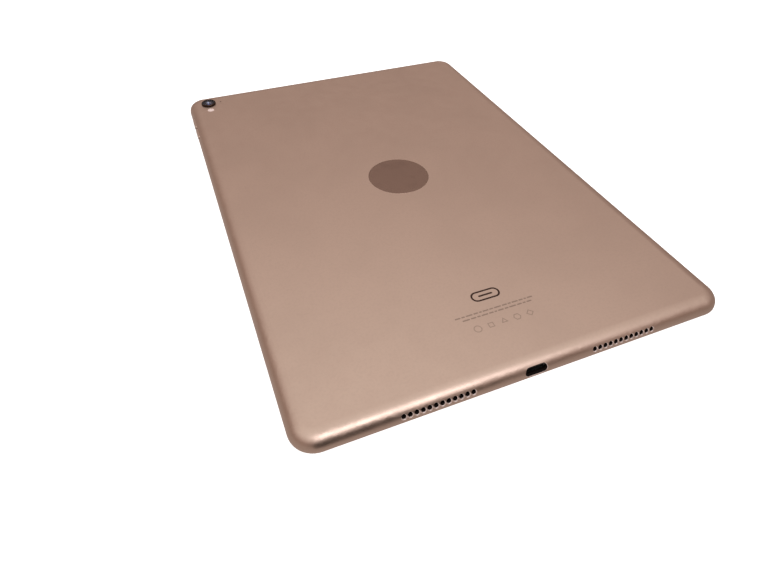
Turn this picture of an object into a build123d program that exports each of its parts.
"""Tablet computer with a 9.7 inch screen, lying on its glass with its back up. Millimetres.

Frame: the origin is at the middle of the glass's front face, +Z runs through the tablet towards its
back, +Y towards its camera end and +X to the right of a person who looks at the back.
Every `*_z` pair below is (lower, upper) along Z, so the first is the one nearer the glass.
"""

from build123d import *
import os

# ---------------------------------------------------------------- driving dimensions
WIDTH, LENGTH, THICKNESS = 169.5, 240.0, 6.1
CORNER_R = 9.0

RIM_Z = 0.20  # the rim's flat lip, which the glass stands proud of
CHAMFER_OUT, CHAMFER_IN, CHAMFER_TOP = 0.14, 0.62, 0.62
WIDEST_Z = 1.25
EDGE_RUN = 5.8  # how far in from the widest line the curved edge reaches
EDGE_PULL_IN, EDGE_PULL_UP = 1.7, 3.7  # the curve's two inner control points

GLASS_INSET, GLASS_Z = 1.0, (0.0, 0.60)
POCKET_INSET, LEDGE_Z = 0.70, 0.80
CAVITY_INSET, CAVITY_BACK = 4.2, 5.25
CAVITY_EDGE_R = 0.6

SCREEN_W, SCREEN_L = 150.8, 200.4
PANEL_Z, GUIDE_Z, TRAY_Z = (0.60, 1.40), (1.45, 1.95), (1.40, 2.20)
TRAY_FLOOR_Z, TRAY_WALL = 2.0, 0.3

HOME = (0.0, -109.1)
HOME_HOLE_R, HOME_RING_R, HOME_RING_BORE_R = 6.10, 5.95, 5.35
HOME_FLANGE_R, HOME_RELIEF_R, HOME_RELIEF_TOP = 6.9, 7.5, 2.35

CAMERA = (-73.7, 109.0)
CAMERA_RING_R, CAMERA_BORE_R, CAMERA_LENS_R = 4.0, 2.6, 3.4
CAMERA_TOP, LENS_SEAT_Z, LENS_TOP = 7.0, 6.36, 6.90
CAMERA_BOARD = 8.8
REAR_MIC_HOLE_R = 0.40
FLASH = (-73.7, 101.0)
FLASH_R = 1.8
REAR_MIC = (-66.8, 109.2)
FRONT_CAMERA = (0.0, 109.4)

EMBLEM_R, EMBLEM_Y, EMBLEM_DEPTH, EMBLEM_GAP = 14.5, 1.0, 0.40, 0.04

SPEAKER_X, SPEAKER_HOLES, SPEAKER_PITCH = 36.5, 12, 2.26
SPEAKER_HOLE_R, SPEAKER_Z = 0.82, 3.30
SPEAKER_W, SPEAKER_DEPTH, SPEAKER_BOX_Z = 30.0, 17.0, (2.45, 4.95)
CONE_RELIEF, CONE_SIZE, CONE_Z = (22.0, 11.0), (18.0, 7.0), 2.60
SLOT_HALF, SLOT_Z, SLOT_INSET = 13.4, (2.35, 4.25), 1.9
PORT_RIM, HOLE_RIM = 0.18, 0.28  # the bevels of the port's and the speaker holes' rims

PORT_Z, PORT_SLOT_Z, PORT_W, PORT_H = 3.30, 3.15, 8.6, 3.1
JACK_X, JACK_Z = 67.5, 3.10
JACK_BORE_R, JACK_NOSE_R, JACK_HOLE_R = 1.80, 2.02, 2.06
JACK_DEPTH = 14.0  # from the housing's edge to the blind end, as long as a plug
JACK_NOSE_Y = 117.2
TRIM_INSET = 0.06  # how far the jack's trim ring lies under the housing's surface

BUTTON_Z, BUTTON_H, BUTTON_PROUD, BUTTON_GAP = 3.20, 1.75, 0.25, 0.18
VOLUME_UP_Y, VOLUME_DOWN_Y, VOLUME_L = 93.6, 82.0, 9.7
POWER_X, POWER_L = -60.5, 10.6
BAY_DEPTH, BAY_Z = 2.15, (2.0, 4.45)

ACCESSORY_PITCH, ACCESSORY_HOLE_R, CONTACT_R = 6.5, 1.45, 1.0
ACCESSORY_Z = 3.2

BOARD_X, BOARD_Y, BOARD_Z = (42.0, 79.0), (-70.0, 84.0), (3.55, 4.25)
BOARD_SCREWS = [(45, -66), (76, -66), (76, -11), (45, 37), (45, 80), (76, 80)]
BATTERY_X, BATTERY_HALF_L, BATTERY_Z = (-76.5, 31.5), 95.0, (2.50, 5.10)

SCREW_R, SCREW_HEAD_R, SCREW_HEAD_H, BOSS_R = 0.55, 1.2, 0.35, 1.6
SCREW_HOLE_R, SCREW_SLOT_DEPTH, SIDE_SCREW_L = 0.60, 0.15, 1.5
PORT_EAR_Z = (4.00, 4.70)
FLEX_T = 0.10  # thickness of a flexible printed circuit
CHANNEL_Y = 96.6  # the free lane between the battery and the speakers
FIT_GAP = 0.03  # round a fixed piece that sits in a hole
BITE = 0.1  # how far a cut or a joined piece runs past the face that it crosses

HALF_W, HALF_L = WIDTH / 2, LENGTH / 2
CAVITY_X, CAVITY_Y = HALF_W - CAVITY_INSET, HALF_L - CAVITY_INSET


# ---------------------------------------------------------------- helpers
def box(x, y, z):
    """A block from three (low, high) pairs."""
    low, high = [min(pair) for pair in (x, y, z)], [max(pair) for pair in (x, y, z)]
    middle = [(a + b) / 2 for a, b in zip(low, high)]
    return Pos(*middle) * Box(*[b - a for a, b in zip(low, high)])


def around(middle, size):
    """The (low, high) pair of that size about a middle."""
    return (middle - size / 2, middle + size / 2)


def disc(at, radius, z):
    """A cylinder that stands on the XY plane at a point."""
    return Pos(at[0], at[1], (z[0] + z[1]) / 2) * Cylinder(radius, z[1] - z[0])


def tube(at, outer, inner, z):
    return disc(at, outer, z) - disc(at, inner, z)


def outline(inset, z, corner=None):
    """The tablet's plan shape, drawn in by inset, between two heights."""
    corner = max(CORNER_R - inset, 0.8) if corner is None else corner
    plan = RectangleRounded(WIDTH - 2 * inset, LENGTH - 2 * inset, corner)
    return extrude(Plane.XY.offset(z[0]) * plan, z[1] - z[0])


def slab(x, y, z, corner):
    """A block with rounded upright edges."""
    plan = RectangleRounded(x[1] - x[0], y[1] - y[0], corner)
    return extrude(Plane((sum(x) / 2, sum(y) / 2, z[0])) * plan, z[1] - z[0])


def along_y(sketch, x, z, y):
    """A sketch drawn in X and Z, run from the lower y to the upper one."""
    plane = Plane(origin=(x, y[0], z), x_dir=(-1, 0, 0), z_dir=(0, 1, 0))
    return extrude(plane * sketch, y[1] - y[0])


def along_x(sketch, y, z, x):
    """A sketch drawn in Y and Z, run from the lower x to the upper one."""
    plane = Plane(origin=(x[0], y, z), x_dir=(0, 1, 0), z_dir=(1, 0, 0))
    return extrude(plane * sketch, x[1] - x[0])


def ribbon(points, width, z):
    """A flat strip of flexible circuit that follows a path in plan, with rounded turns."""
    path = FilletPolyline(*points, radius=1.5) if len(points) > 2 else Line(*points)
    return extrude(Plane.XY.offset(z[0]) * trace(path, width), z[1] - z[0])


def joined(pieces):
    """Touching or crossing pieces as one solid."""
    first, *rest = pieces
    for piece in rest:
        first = first + piece
    return first


def group(pieces):
    """Separate solids that share one node."""
    return Compound(children=[solid for piece in pieces for solid in piece.solids()])


# ---------------------------------------------------------------- outer shape
def outer_body():
    """The whole outside: a flat back, a soft curved edge and a chamfered front rim."""
    x, inner = HALF_W, HALF_W - EDGE_RUN
    rim_in, rim_out = (x - CHAMFER_IN, 0, RIM_Z), (x - CHAMFER_OUT, 0, CHAMFER_TOP)
    widest, back = (x, 0, WIDEST_Z), (inner, 0, THICKNESS)
    curve = Bezier(widest, (x, 0, EDGE_PULL_UP), (x - EDGE_PULL_IN, 0, THICKNESS), back)
    front = (inner, 0, RIM_Z)
    profile = Face(
        Wire(
            [
                Line(front, rim_in),
                Line(rim_in, rim_out),
                Line(rim_out, widest),
                curve,
                Line(back, front),
            ]
        )
    )
    hx, hy, r = HALF_W, HALF_L, CORNER_R
    path = Wire(
        [
            Line((hx, 0), (hx, hy - r)),
            RadiusArc((hx, hy - r), (hx - r, hy), -r),
            Line((hx - r, hy), (r - hx, hy)),
            RadiusArc((r - hx, hy), (-hx, hy - r), -r),
            Line((-hx, hy - r), (-hx, r - hy)),
            RadiusArc((-hx, r - hy), (r - hx, -hy), -r),
            Line((r - hx, -hy), (hx - r, -hy)),
            RadiusArc((hx - r, -hy), (hx, r - hy), -r),
            Line((hx, r - hy), (hx, 0)),
        ]
    )
    return sweep(profile, path=path) + outline(EDGE_RUN, (RIM_Z, THICKNESS))


OUTER = outer_body()


# ---------------------------------------------------------------- rear housing
def speaker_places():
    """Each grille's name, its X and the side it faces: -1 is the port's end, +1 the camera's."""
    for end, side in (("bottom", -1), ("top", 1)):
        for hand, x in (("left", -SPEAKER_X), ("right", SPEAKER_X)):
            yield f"speaker_{end}_{hand}", x, side


def span_y(side, near, far):
    """A (low, high) pair in Y between two distances from the middle, at one end."""
    return tuple(sorted((side * near, side * far)))


def pierced_outer():
    """The outer body with the speaker holes and the port's slot, their rims bevelled."""
    holes = []
    for _, x, side in speaker_places():
        for k in range(SPEAKER_HOLES):
            hole_x = x + (k - (SPEAKER_HOLES - 1) / 2) * SPEAKER_PITCH
            reach = span_y(side, CAVITY_Y - BITE, HALF_L + 1)
            holes.append(along_y(Circle(SPEAKER_HOLE_R), hole_x, SPEAKER_Z, reach))
    slot = along_y(SlotOverall(PORT_W, PORT_H), 0, PORT_SLOT_Z, (-HALF_L - 1, BITE - CAVITY_Y))
    body = OUTER - [*holes, slot]
    rims = [e for e in body.edges() if abs(e.center().Y) > HALF_L - 2]
    rims = [e for e in rims if e.length < PORT_W and abs(e.center().X) < HALF_W - 2 * CORNER_R]
    body = chamfer([e for e in rims if abs(e.center().X) < PORT_W], PORT_RIM)
    rims = [e for e in body.edges() if abs(e.center().Y) > HALF_L - 2 and e.length < PORT_W]
    inner, outer = SPEAKER_X - SLOT_HALF, SPEAKER_X + SLOT_HALF
    return chamfer([e for e in rims if inner < abs(e.center().X) < outer], HOLE_RIM)


def speaker_slots():
    """The slot behind each row of speaker holes."""
    return [
        box(around(x, 2 * SLOT_HALF), span_y(side, CAVITY_Y - BITE, HALF_L - SLOT_INSET), SLOT_Z)
        for _, x, side in speaker_places()
    ]


def button_cuts():
    """The slots that the side buttons slide in, and the bays for their flanges."""
    gap, z = 2 * BUTTON_GAP, BUTTON_Z
    volume = SlotOverall(VOLUME_L + gap, BUTTON_H + gap)
    power = SlotOverall(POWER_L + gap, BUTTON_H + gap)
    wall_x, wall_y = (-HALF_W - 1, BITE - CAVITY_X), (CAVITY_Y - BITE, HALF_L + 1)
    cuts = [along_x(volume, y, z, wall_x) for y in (VOLUME_UP_Y, VOLUME_DOWN_Y)]
    cuts.append(along_y(power, POWER_X, z, wall_y))
    middle = (VOLUME_UP_Y + VOLUME_DOWN_Y) / 2
    bay_x = (-CAVITY_X - BAY_DEPTH, BITE - CAVITY_X)
    bay_y = (CAVITY_Y - BITE, CAVITY_Y + BAY_DEPTH)
    cuts.append(box(bay_x, around(middle, VOLUME_UP_Y - VOLUME_DOWN_Y + 13.6), BAY_Z))
    cuts.append(box(around(POWER_X, POWER_L + 2.6), bay_y, BAY_Z))
    return cuts


PORT_SCREWS = [(-8.2, -113.5), (8.2, -113.5)]
VOLUME_BRACKET_Y, POWER_BRACKET_X = (73.0, 102.6), (-69.5, -51.5)
BRACKET_SCREW_IN = 1.1  # from a bracket's end to its screw
SIDE_SCREW_HOLE = 1.4  # how deep the brackets' screw holes go into the wall


def bracket_screw_places():
    """(Y of each screw in the volume bracket), (X of each screw in the power bracket)."""
    return [
        (pair[0] + BRACKET_SCREW_IN, pair[1] - BRACKET_SCREW_IN)
        for pair in (VOLUME_BRACKET_Y, POWER_BRACKET_X)
    ]


def rear_housing():
    body = pierced_outer() - outline(POCKET_INSET, (RIM_Z - 1, LEDGE_Z))
    cavity = outline(CAVITY_INSET, (LEDGE_Z - BITE, CAVITY_BACK))
    cavity = fillet(cavity.edges().group_by(Axis.Z)[-1], CAVITY_EDGE_R)
    body = body - cavity - disc(HOME, HOME_RELIEF_R, (LEDGE_Z - BITE, HOME_RELIEF_TOP))

    # bosses that stand on the inside of the back
    foot = CAVITY_BACK + BITE
    bosses = [disc(p, BOSS_R, (BOARD_Z[1], foot)) for p in BOARD_SCREWS]
    bosses += [disc(p, BOSS_R, (PORT_EAR_Z[1], foot)) for p in PORT_SCREWS]
    body = joined([body, *bosses])

    back = (CAVITY_BACK - 0.5, THICKNESS + 1)
    cuts = [
        disc((0, EMBLEM_Y), EMBLEM_R, (THICKNESS - EMBLEM_DEPTH, THICKNESS + 1)),
        disc(CAMERA, CAMERA_RING_R + FIT_GAP, back),
        disc(FLASH, FLASH_R + FIT_GAP, back),
        disc(REAR_MIC, REAR_MIC_HOLE_R, back),
        along_y(Circle(JACK_HOLE_R), JACK_X, JACK_Z, (CAVITY_Y - 0.7, HALF_L + 1)),
    ]
    for k in (-1, 0, 1):
        reach = (CAVITY_X - BITE, HALF_W + 1)
        hole = Circle(ACCESSORY_HOLE_R)
        cuts.append(along_x(hole, k * ACCESSORY_PITCH, ACCESSORY_Z, reach))
    for p in (*BOARD_SCREWS, *PORT_SCREWS):
        cuts.append(disc(p, SCREW_HOLE_R, (BOARD_Z[1] - BITE, CAVITY_BACK - BITE)))
    volume_y, power_x = bracket_screw_places()
    for y in volume_y:
        wall = (-CAVITY_X - SIDE_SCREW_HOLE, BITE - CAVITY_X)
        cuts.append(along_x(Circle(SCREW_HOLE_R), y, BUTTON_Z, wall))
    for x in power_x:
        wall = (CAVITY_Y - BITE, CAVITY_Y + SIDE_SCREW_HOLE)
        cuts.append(along_y(Circle(SCREW_HOLE_R), x, BUTTON_Z, wall))
    return body - [*cuts, *speaker_slots(), *button_cuts()]


def emblem_insert():
    """A plain polished disc, set flush in the back."""
    z = (THICKNESS - EMBLEM_DEPTH, THICKNESS - 0.01)
    plate = disc((0, EMBLEM_Y), EMBLEM_R - EMBLEM_GAP, z)
    return chamfer(plate.edges().group_by(Axis.Z)[-1], 0.06)


# ---------------------------------------------------------------- glass and screen
def cover_glass():
    glass = outline(GLASS_INSET, GLASS_Z)
    glass = chamfer(glass.edges().group_by(Axis.Z)[0], 0.12)
    return glass - disc(HOME, HOME_HOLE_R, (GLASS_Z[0] - 1, GLASS_Z[1] + 1))


def glass_gasket():
    """The thin plastic frame between the glass and the metal rim."""
    z = (RIM_Z - 0.05, LEDGE_Z - 0.02)
    return outline(POCKET_INSET + 0.02, z) - outline(GLASS_INSET - 0.02, z)


def glass_adhesive():
    z = (GLASS_Z[1], LEDGE_Z)
    return outline(GLASS_INSET + 0.3, z) - outline(CAVITY_INSET - 0.6, z)


def screen_slab(trim, z):
    x, y = around(0, SCREEN_W - 2 * trim), around(0, SCREEN_L - 2 * trim)
    return slab(x, y, z, 0.5)


def display_panel():
    return screen_slab(0, PANEL_Z)


def backlight_tray():
    return screen_slab(0, TRAY_Z) - screen_slab(TRAY_WALL, (TRAY_Z[0], TRAY_FLOOR_Z))


def light_guide():
    return screen_slab(TRAY_WALL + 0.1, GUIDE_Z)


# ---------------------------------------------------------------- home button
def home_button_cap():
    """The disc that the finger rests on, a little below the ring."""
    cap = disc(HOME, HOME_RING_BORE_R - 0.04, (0.20, 0.80))
    return fillet(cap.edges().group_by(Axis.Z)[0], 0.08)


def home_button_ring():
    rim = tube(HOME, HOME_RING_R, HOME_RING_BORE_R, (0.08, 0.70))
    rim = chamfer(rim.edges().group_by(Axis.Z)[0], 0.10)
    return rim + tube(HOME, HOME_FLANGE_R, HOME_RING_BORE_R, (0.70, 1.00))


def fingerprint_sensor():
    """The sensor's square package, with the pin that presses the switch."""
    body = slab(around(HOME[0], 7.4), around(HOME[1], 7.4), (0.80, 1.50), 0.8)
    return body + disc(HOME, 0.9, (1.50, 2.15))


def home_button_switch():
    body = slab(around(HOME[0], 3.6), around(HOME[1], 3.2), (1.90, 2.75), 0.3)
    return body - disc(HOME, 1.0, (1.80, 2.50))


def home_button_bracket():
    """A steel bridge behind the button, with two feet bonded to the glass."""
    y, z = (HOME[1] - 1.6, HOME[1] + 4.2), (2.75, 3.00)
    pieces = [box((-11.6, 11.6), y, z)]
    for side in (-1, 1):
        leg = sorted((side * 11.2, side * 11.6))
        foot = sorted((side * 11.2, side * 14.2))
        pieces.append(box(leg, y, (GLASS_Z[1], z[1])))
        pieces.append(box(foot, y, (GLASS_Z[1], 0.90)))
    return joined(pieces)


# ---------------------------------------------------------------- side buttons
FLANGE_T, FLANGE_MARGIN = 0.5, 0.75
FLANGE_GAP = 0.05


def side_button(length, place, shift, bay_wall, inwards):
    """A cap that follows the housing's curve, its flange and the pin that presses its switch.

    place runs a sketch through the wall between two depths, shift stands the curve proud,
    bay_wall is where the flange stops, and inwards is the sign of the way to press.
    """

    def reach(near, far):
        return tuple(sorted((bay_wall + inwards * near, bay_wall + inwards * far)))

    cap = place(SlotOverall(length, BUTTON_H), reach(-4.0, FLANGE_GAP + FLANGE_T))
    cap = cap & (Pos(*shift) * OUTER)
    flange = Rectangle(length + 2 * FLANGE_MARGIN, BUTTON_H + 0.45)
    flange = place(flange, reach(FLANGE_GAP, FLANGE_GAP + FLANGE_T))
    pin = place(Rectangle(1.6, 1.0), reach(FLANGE_GAP + FLANGE_T, 1.40))
    return joined([cap, flange, pin])


def volume_button(y):
    def place(sketch, x):
        return along_x(sketch, y, BUTTON_Z, x)

    return side_button(VOLUME_L, place, (-BUTTON_PROUD, 0, 0), -CAVITY_X - BAY_DEPTH, 1)


def power_button():
    def place(sketch, y):
        return along_y(sketch, POWER_X, BUTTON_Z, y)

    return side_button(POWER_L, place, (0, BUTTON_PROUD, 0), CAVITY_Y + BAY_DEPTH, -1)


SWITCH_DEPTH = (0.90, 2.10)  # from a bay's outer wall to the switch's two faces
SWITCH_HOLE_END = 1.78


def side_switches():
    """Three push switches, each with the hole that a button's pin slides in."""
    body, hole = Rectangle(4.4, 1.9), Rectangle(1.8, 1.2)
    wall_x, wall_y = -CAVITY_X - BAY_DEPTH, CAVITY_Y + BAY_DEPTH
    near, far = SWITCH_DEPTH
    switches = []
    for y in (VOLUME_UP_Y, VOLUME_DOWN_Y):
        case = along_x(body, y, BUTTON_Z, (wall_x + near, wall_x + far))
        slot = along_x(hole, y, BUTTON_Z, (wall_x + near - BITE, wall_x + SWITCH_HOLE_END))
        switches.append(case - slot)
    case = along_y(body, POWER_X, BUTTON_Z, (wall_y - far, wall_y - near))
    slot = along_y(hole, POWER_X, BUTTON_Z, (wall_y - SWITCH_HOLE_END, wall_y - near + BITE))
    switches.append(case - slot)
    return group(switches)


BRACKET_T, BRACKET_H = 0.35, 2.3
BRACKET_OFF = 0.05  # from the cavity's wall to a bracket


def button_brackets():
    """The two steel plates that hold the side switches against the walls."""
    near, far = CAVITY_X - BRACKET_OFF, CAVITY_X - BRACKET_OFF - BRACKET_T
    z = around(BUTTON_Z, BRACKET_H)
    volume_y, power_x = bracket_screw_places()
    volume = box((-near, -far), VOLUME_BRACKET_Y, z)
    for y in volume_y:
        volume -= along_x(Circle(SCREW_HOLE_R), y, BUTTON_Z, (-near - 1, 1 - far))
    near, far = CAVITY_Y - BRACKET_OFF, CAVITY_Y - BRACKET_OFF - BRACKET_T
    power = box(POWER_BRACKET_X, (far, near), z)
    for x in power_x:
        power -= along_y(Circle(SCREW_HOLE_R), x, BUTTON_Z, (far - 1, near + 1))
    return group([volume, power])


def bracket_screws():
    """Four small screws that hold the two brackets to the walls."""
    off = BRACKET_OFF + BRACKET_T
    face_x, face_y = off - CAVITY_X, CAVITY_Y - off
    shank, head, slot = Circle(SCREW_R - 0.05), Circle(0.95), Rectangle(1.2, 0.25)
    top, floor = SCREW_HEAD_H, SCREW_HEAD_H - SCREW_SLOT_DEPTH
    volume_y, power_x = bracket_screw_places()
    screws = []
    for y in volume_y:
        screw = along_x(shank, y, BUTTON_Z, (face_x - SIDE_SCREW_L, face_x))
        cap = along_x(head, y, BUTTON_Z, (face_x, face_x + top))
        cap -= along_x(slot, y, BUTTON_Z, (face_x + floor, face_x + top))
        screws.append(screw + cap)
    for x in power_x:
        screw = along_y(shank, x, BUTTON_Z, (face_y, face_y + SIDE_SCREW_L))
        cap = along_y(head, x, BUTTON_Z, (face_y - top, face_y))
        cap -= along_y(slot, x, BUTTON_Z, (face_y - top, face_y - floor))
        screws.append(screw + cap)
    return group(screws)


# ---------------------------------------------------------------- rear camera
def camera_trim_ring():
    """The raised metal ring: a flange inside the back, a bore for the barrel and a lens seat."""
    ring = disc(CAMERA, CAMERA_RING_R, (5.0, CAMERA_TOP))
    ring = chamfer(ring.edges().group_by(Axis.Z)[-1], 0.30)
    ring += disc(CAMERA, CAMERA_RING_R + 0.9, (4.86, CAVITY_BACK - 0.03))
    ring -= disc(CAMERA, CAMERA_BORE_R, (4.0, CAMERA_TOP + 1))
    return ring - disc(CAMERA, CAMERA_LENS_R + 0.04, (LENS_SEAT_Z, CAMERA_TOP + 1))


def camera_cover_lens():
    lens = disc(CAMERA, CAMERA_LENS_R, (LENS_SEAT_Z, LENS_TOP))
    return chamfer(lens.edges().group_by(Axis.Z)[-1], 0.06)


def camera_lens_barrel():
    """The focusing barrel: a stepped tube with a domed front element."""
    barrel = disc(CAMERA, 2.40, (2.20, 5.20)) + disc(CAMERA, 2.05, (5.20, 5.70))
    barrel -= Pos(*CAMERA, 5.70) * Cone(0.9, 1.7, 0.5, align=(Align.CENTER,) * 2 + (Align.MAX,))
    ball = Pos(*CAMERA, 5.20 - 2.25) * Sphere(2.5)
    return barrel + (ball & disc(CAMERA, 0.95, (5.0, 5.60)))


def camera_actuator():
    """The square can that holds the barrel and its focusing coil."""
    x, y = around(CAMERA[0], 8.4), around(CAMERA[1], 8.4)
    can = slab(x, y, (1.55, 4.80), 0.6)
    return can - disc(CAMERA, 2.55, (2.05, 5.0))


def camera_sensor_board():
    return slab(around(CAMERA[0], CAMERA_BOARD), around(CAMERA[1], CAMERA_BOARD), (0.95, 1.55), 0.4)


def flash_lens():
    lens = disc(FLASH, FLASH_R, (4.95, THICKNESS - 0.01))
    return lens + disc(FLASH, FLASH_R + 0.45, (4.70, CAVITY_BACK - 0.03))


def flash_led():
    body = slab(around(FLASH[0], 3.2), around(FLASH[1], 3.2), (3.90, 4.40), 0.2)
    chips = [disc((FLASH[0] + dx, FLASH[1]), 0.6, (4.40, 4.60)) for dx in (-0.75, 0.75)]
    return joined([body, *chips])


def rear_microphone():
    body = slab(around(REAR_MIC[0], 3.2), around(REAR_MIC[1], 2.6), (4.10, 5.20), 0.2)
    return body - disc(REAR_MIC, 0.35, (4.60, 5.30))


# ---------------------------------------------------------------- speakers
def speaker(x, side):
    """A flat box with a mouth towards its grille and a cone behind a raised surround."""
    far = CAVITY_Y - BITE
    near = far - SPEAKER_DEPTH
    body = slab(around(x, SPEAKER_W), span_y(side, near, far), SPEAKER_BOX_Z, 1.5)
    body -= box(around(x, 24.0), span_y(side, far - 2.5, far + 1), (2.95, 3.75))
    middle = side * (far + near) / 2 - side * 0.8
    body -= Pos(x, middle, SPEAKER_BOX_Z[0]) * extrude(SlotOverall(*CONE_RELIEF), 0.35)
    cone = Pos(x, middle, CONE_Z) * extrude(SlotOverall(*CONE_SIZE), 0.5)
    return body + cone


MESH_T = 0.25


def speaker_meshes():
    """One dust mesh strip behind each row of holes."""
    far = HALF_L - SLOT_INSET - 0.03
    size = Rectangle(2 * SLOT_HALF - 0.3, SLOT_Z[1] - SLOT_Z[0] - 0.2)
    return group(
        along_y(size, x, sum(SLOT_Z) / 2, span_y(side, far - MESH_T, far))
        for _, x, side in speaker_places()
    )


def speaker_gaskets():
    """A foam frame between each mesh and its speaker."""
    far, near = HALF_L - SLOT_INSET - 0.03 - MESH_T, CAVITY_Y - BITE
    frame = Rectangle(2 * SLOT_HALF - 0.3, SLOT_Z[1] - SLOT_Z[0] - 0.2)
    frame -= Rectangle(2 * SLOT_HALF - 1.9, SLOT_Z[1] - SLOT_Z[0] - 1.0)
    return group(
        along_y(frame, x, sum(SLOT_Z) / 2, span_y(side, near, far))
        for _, x, side in speaker_places()
    )


# ---------------------------------------------------------------- charging port
SHELL_W, SHELL_H, SHELL_WALL = 8.1, 2.45, 0.25
SHELL_MOUTH, SHELL_END = -118.5, -111.4
BODY_END = -110.9
BLADES, BLADE_PITCH, BLADE_W = 8, 0.75, 0.36
TONGUE_W, TONGUE_Z, BLADE_Z = 6.0, (4.08, 4.22), (3.95, 4.08)


def port_shell():
    """The steel sleeve that a plug slides into, open at its mouth."""
    outer = SlotOverall(SHELL_W, SHELL_H)
    inner = SlotOverall(SHELL_W - 2 * SHELL_WALL, SHELL_H - 2 * SHELL_WALL)
    return along_y(outer - inner, 0, PORT_Z, (SHELL_MOUTH, SHELL_END))


def port_body():
    """The moulded block round the sleeve, with two screw ears and the contacts' tongue."""
    front = 0.2 - CAVITY_Y
    block = slab((-6.4, 6.4), (front, BODY_END), (1.95, 4.70), 0.4)
    ears = slab((-10.0, 10.0), (-115.2, -111.8), PORT_EAR_Z, 1.2)
    bore = SlotOverall(SHELL_W + 0.04, SHELL_H + 0.04)
    body = block + ears - along_y(bore, 0, PORT_Z, (front - 1, SHELL_END))
    body += box(around(0, TONGUE_W), (-117.9, SHELL_END + 0.1), TONGUE_Z)
    z = (PORT_EAR_Z[0] - BITE, PORT_EAR_Z[1] + BITE)
    return body - [disc(p, SCREW_R + 0.15, z) for p in PORT_SCREWS]


def port_contacts():
    places = [(k - (BLADES - 1) / 2) * BLADE_PITCH for k in range(BLADES)]
    return group(box(around(x, BLADE_W), (-117.6, -111.5), BLADE_Z) for x in places)


# ---------------------------------------------------------------- headphone jack
def headphone_jack_socket():
    """A moulded barrel with a blind bore for a 3.5 mm plug."""
    front = CAVITY_Y - 0.4
    back = HALF_L - TRIM_INSET - JACK_DEPTH
    body = slab(around(JACK_X, 6.6), (back - 0.8, front), (1.00, 5.10), 0.5)
    nose = along_y(Circle(JACK_NOSE_R), JACK_X, JACK_Z, (front - 1, JACK_NOSE_Y))
    bore = along_y(Circle(JACK_BORE_R), JACK_X, JACK_Z, (back, JACK_NOSE_Y + 1))
    return body + nose - bore


def headphone_jack_trim():
    """The bright ring at the mouth, cut to follow the housing's curve."""
    ring = Circle(JACK_NOSE_R) - Circle(JACK_BORE_R)
    ring = along_y(ring, JACK_X, JACK_Z, (JACK_NOSE_Y + 0.03, HALF_L + 1))
    return ring & (Pos(0, -TRIM_INSET, 0) * OUTER)


# ---------------------------------------------------------------- front sensors
def front_camera():
    body = slab(around(FRONT_CAMERA[0], 6.2), around(FRONT_CAMERA[1], 6.2), (0.95, 3.4), 0.4)
    return body + disc(FRONT_CAMERA, 1.7, (0.63, 0.95))


def light_sensors():
    """Two light sensors, one each side of the front camera."""
    y = around(FRONT_CAMERA[1], 2.2)
    return group(slab(around(x, 3.2), y, (0.63, 1.30), 0.2) for x in (-11.5, 11.5))


# ---------------------------------------------------------------- logic board
SHIELD_Z, SHIELD_T = (2.45, 3.55), 0.2
SHIELDS = [
    ((59.5, 77.5), (-58.0, -16.0)),
    ((46.0, 77.5), (-6.0, 33.0)),
    ((46.0, 77.5), (41.0, 74.0)),
]
CHIPS = [  # middle x, middle y, size along x, size along y
    (66.0, 10.0, 16.0, 16.0),
    (66.0, 30.0, 12.0, 14.0),
    (53.0, 18.0, 8.0, 12.0),
    (66.0, 58.0, 12.0, 15.0),
    (66.0, -35.0, 10.0, 10.0),
    (52.0, -50.0, 6.0, 6.0),
]
CONNECTORS = [(54.5, -40.0), (54.5, -23.0)]
CONNECTOR_W, CONNECTOR_L, CONNECTOR_Z = 4.0, 12.0, (2.68, 3.55)


def logic_board():
    board = slab(BOARD_X, BOARD_Y, BOARD_Z, 1.5)
    z = (BOARD_Z[0] - 1, BOARD_Z[1] + 1)
    return board - [disc(p, SCREW_R + 0.2, z) for p in BOARD_SCREWS]


def board_shields():
    """Three pressed steel cans over the front of the board."""
    z_hollow = (SHIELD_Z[0] + SHIELD_T, SHIELD_Z[1] + 0.1)
    cans = []
    for x, y in SHIELDS:
        hollow_x = (x[0] + SHIELD_T, x[1] - SHIELD_T)
        hollow_y = (y[0] + SHIELD_T, y[1] - SHIELD_T)
        can = slab(x, y, SHIELD_Z, 0.8) - slab(hollow_x, hollow_y, z_hollow, 0.6)
        cans.append(can)
    return group(cans)


def board_chips():
    z = (BOARD_Z[1], 5.05)
    return group(slab(around(x, w), around(y, d), z, 0.2) for x, y, w, d in CHIPS)


def board_connectors():
    return group(
        slab(around(x, CONNECTOR_W), around(y, CONNECTOR_L), CONNECTOR_Z, 0.2)
        for x, y in CONNECTORS
    )


def connector_cover():
    """A thin steel bridge that keeps the two screen connectors pressed home."""
    x, y, z = around(54.5, 5.0), (-51.0, -12.0), (2.40, 2.52)
    legs = [box(x, (end, end + 0.3), (z[0], BOARD_Z[0])) for end in (y[0], y[1] - 0.3)]
    return joined([box(x, y, z), *legs])


def board_screws():
    """Six screws through the board and two through the port's ears, with slotted heads."""
    screws = []
    for p, seat in [(p, BOARD_Z[0]) for p in BOARD_SCREWS] + [(p, PORT_EAR_Z[0]) for p in PORT_SCREWS]:
        head = disc(p, SCREW_HEAD_R, (seat - SCREW_HEAD_H, seat))
        floor = seat - SCREW_HEAD_H + SCREW_SLOT_DEPTH
        head -= box(around(p[0], 1.6), around(p[1], 0.3), (seat - SCREW_HEAD_H, floor))
        screws.append(head + disc(p, SCREW_R, (seat, 5.05)))
    return group(screws)


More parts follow.
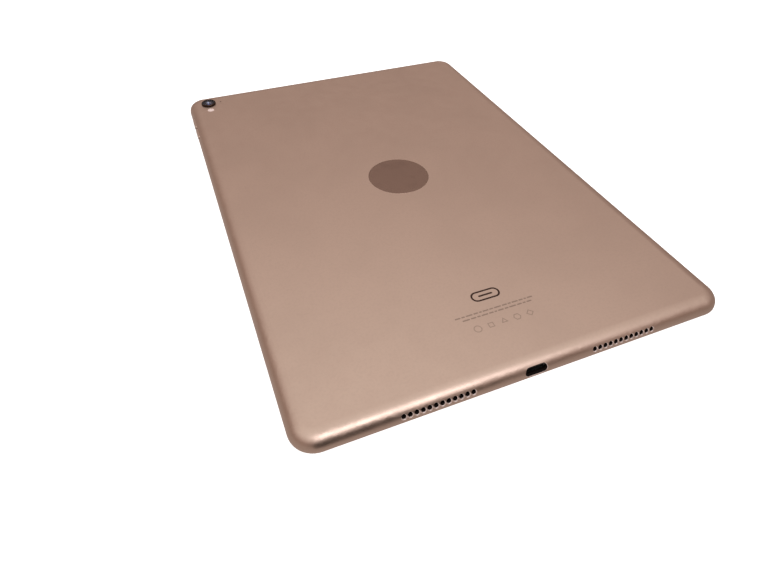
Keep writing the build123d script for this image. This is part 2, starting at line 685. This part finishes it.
# ---------------------------------------------------------------- battery
def battery_cell(side):
    """A pouch cell with soft edges and the folded seam along one side."""
    y = span_y(side, 0.7, BATTERY_HALF_L)
    cell = slab(BATTERY_X, y, BATTERY_Z, 2.0)
    cell = fillet(cell.edges().group_by(Axis.Z)[0] + cell.edges().group_by(Axis.Z)[-1], 0.5)
    seam = box((BATTERY_X[1] - 1, BATTERY_X[1] + 2), (y[0] + 3, y[1] - 3), (3.6, 3.85))
    return cell + seam


def battery_board():
    """The narrow protection board beside the cells, and its tail to the logic board."""
    board = slab((34.0, 38.5), (-28.0, 28.0), (3.30, 4.10), 0.4)
    return board + slab((38.0, 45.0), (-5.0, 5.0), (3.40, 3.40 + FLEX_T), 0.4)


# ---------------------------------------------------------------- accessory connector
def accessory_insulator():
    """A moulded bar inside the wall, with three collars that fill the holes."""
    bar = box((79.2, CAVITY_X - BITE), (-9.6, 9.6), (2.2, 4.4))
    pieces = [bar]
    for k in (-1, 0, 1):
        reach = (CAVITY_X - 0.6, HALF_W + 1)
        collar = Circle(ACCESSORY_HOLE_R - 0.03)
        pieces.append(along_x(collar, k * ACCESSORY_PITCH, ACCESSORY_Z, reach))
    body = joined(pieces) & (Pos(-0.04, 0, 0) * OUTER)
    for k in (-1, 0, 1):
        reach = (CAVITY_X - 0.2, HALF_W + 1)
        body -= along_x(Circle(CONTACT_R + 0.02), k * ACCESSORY_PITCH, ACCESSORY_Z, reach)
    return body


def accessory_contacts():
    reach = (CAVITY_X - 0.2, HALF_W + 1)
    pins = [
        along_x(Circle(CONTACT_R), k * ACCESSORY_PITCH, ACCESSORY_Z, reach)
        & (Pos(-0.10, 0, 0) * OUTER)
        for k in (-1, 0, 1)
    ]
    return group(pins)


# ---------------------------------------------------------------- magnets
def edge_magnets():
    """Block magnets along the two long walls, which hold a cover."""
    left = [box((-80.3, -77.4), around(y, 10), (2.6, 4.8)) for y in range(-84, 61, 24)]
    right = [box((77.4, 80.3), around(y, 8), (2.6, 4.8)) for y in (-98, -84, 92)]
    return group(left + right)


# ---------------------------------------------------------------- flexible circuits
def display_flexes():
    """Two strips from the screen's back that rise to the board's connectors."""
    strips = []
    for x, y in CONNECTORS:
        low, high = TRAY_Z[1], CONNECTOR_Z[0] - FLEX_T
        path = Polyline((32, low), (46, low), (50, high), (x + 1.8, high))
        back = Polyline(
            (x + 1.8, high + FLEX_T), (50, high + FLEX_T), (46, low + FLEX_T), (32, low + FLEX_T)
        )
        ends = [Line(path @ 1, back @ 0), Line(back @ 1, path @ 0)]
        section = make_face(Curve() + [path, back, *ends])
        plane = Plane(origin=(0, y - 5, 0), x_dir=(1, 0, 0), z_dir=(0, -1, 0))
        strips.append(extrude(plane * section, -10))
    return group(strips)


def home_button_flex():
    points = [(0, -107.0), (0, -CHANNEL_Y), (57, -CHANNEL_Y), (57, -68)]
    return ribbon(points, 2.2, (3.00, 3.00 + FLEX_T))


def port_flex():
    points = [(0, BODY_END), (0, -CHANNEL_Y), (52, -CHANNEL_Y), (52, -66)]
    return ribbon(points, 2.2, (4.55, 4.55 + FLEX_T))


def upper_sensor_flex():
    """From the front camera and light sensors, along the lane, to the board."""
    z = (3.40, 3.40 + FLEX_T)
    x, y = FRONT_CAMERA
    return ribbon([(x, y + 2), (x, CHANNEL_Y), (57, CHANNEL_Y), (57, 82)], 2.2, z)


def side_button_flex():
    """From the two switch brackets, along the lane, to the back of the board."""
    z = (4.75, 4.75 + FLEX_T)
    trunk = ribbon([(-78.9, 78), (-78.9, CHANNEL_Y), (52, CHANNEL_Y), (52, 78)], 2.2, z)
    return trunk + ribbon([(POWER_X, CHANNEL_Y), (POWER_X, 115.0)], 2.2, z)


def rear_camera_flex():
    """Down from the camera's sensor board, then along the lane to the board."""
    x, z = CAMERA[0], (2.60, 2.60 + FLEX_T)
    front = CAMERA[1] - CAMERA_BOARD / 2
    drop = box(around(x, 4.0), (front - FLEX_T, front), (1.0, z[1]))
    strip = box(around(x, 4.0), (CHANNEL_Y - 1, front), z)
    lane = ribbon([(x, CHANNEL_Y), (49, CHANNEL_Y), (49, 78)], 2.0, z)
    return joined([drop, strip, lane])


# ---------------------------------------------------------------- antennas
ANTENNA_Y = (-110.7, -105.7)
CABLE_R, CABLE_Z = 0.45, 3.9


def antenna_modules():
    """Two moulded carriers in the corners beside the lower speakers."""
    return group(slab(around(x, 17.0), ANTENNA_Y, (1.3, 5.0), 0.8) for x in (-66.5, 66.5))


def antenna_cables():
    """Two thin coaxial leads from the carriers to the board's lower edge."""
    end = BOARD_Y[0] - 0.05
    routes = [
        [(-60.0, ANTENNA_Y[1]), (-60.0, -CHANNEL_Y), (48.0, -CHANNEL_Y), (48.0, end)],
        [(65.0, ANTENNA_Y[1]), (65.0, -95.0), (60.8, -84.0), (60.8, end)],
    ]
    leads = []
    for route in routes:
        path = FilletPolyline(*[(x, y, CABLE_Z) for x, y in route], radius=3.0)
        start = Plane(origin=(*route[0], CABLE_Z), z_dir=(0, 1, 0))
        leads.append(sweep(start * Circle(CABLE_R), path=path))
    return group(leads)


# ---------------------------------------------------------------- all the parts
PARTS = {
    "rear_housing": rear_housing,
    "emblem_insert": emblem_insert,
    "cover_glass": cover_glass,
    "glass_gasket": glass_gasket,
    "glass_adhesive": glass_adhesive,
    "display_panel": display_panel,
    "light_guide": light_guide,
    "backlight_tray": backlight_tray,
    "home_button_cap": home_button_cap,
    "home_button_ring": home_button_ring,
    "fingerprint_sensor": fingerprint_sensor,
    "home_button_switch": home_button_switch,
    "home_button_bracket": home_button_bracket,
    "volume_up_button": lambda: volume_button(VOLUME_UP_Y),
    "volume_down_button": lambda: volume_button(VOLUME_DOWN_Y),
    "power_button": power_button,
    "side_switches": side_switches,
    "button_brackets": button_brackets,
    "bracket_screws": bracket_screws,
    "camera_trim_ring": camera_trim_ring,
    "camera_cover_lens": camera_cover_lens,
    "camera_lens_barrel": camera_lens_barrel,
    "camera_actuator": camera_actuator,
    "camera_sensor_board": camera_sensor_board,
    "flash_lens": flash_lens,
    "flash_led": flash_led,
    "rear_microphone": rear_microphone,
    "speaker_meshes": speaker_meshes,
    "speaker_gaskets": speaker_gaskets,
    "port_shell": port_shell,
    "port_body": port_body,
    "port_contacts": port_contacts,
    "headphone_jack_socket": headphone_jack_socket,
    "headphone_jack_trim": headphone_jack_trim,
    "front_camera": front_camera,
    "light_sensors": light_sensors,
    "logic_board": logic_board,
    "board_shields": board_shields,
    "board_chips": board_chips,
    "board_connectors": board_connectors,
    "connector_cover": connector_cover,
    "board_screws": board_screws,
    "battery_cell_upper": lambda: battery_cell(1),
    "battery_cell_lower": lambda: battery_cell(-1),
    "battery_board": battery_board,
    "accessory_insulator": accessory_insulator,
    "accessory_contacts": accessory_contacts,
    "edge_magnets": edge_magnets,
    "display_flexes": display_flexes,
    "home_button_flex": home_button_flex,
    "port_flex": port_flex,
    "upper_sensor_flex": upper_sensor_flex,
    "side_button_flex": side_button_flex,
    "rear_camera_flex": rear_camera_flex,
    "antenna_modules": antenna_modules,
    "antenna_cables": antenna_cables,
}


def main():
    os.makedirs("parts", exist_ok=True)
    for name, make in PARTS.items():
        export_step(make(), f"parts/{name}.step")
    for name, x, side in speaker_places():
        export_step(speaker(x, side), f"parts/{name}.step")


main()
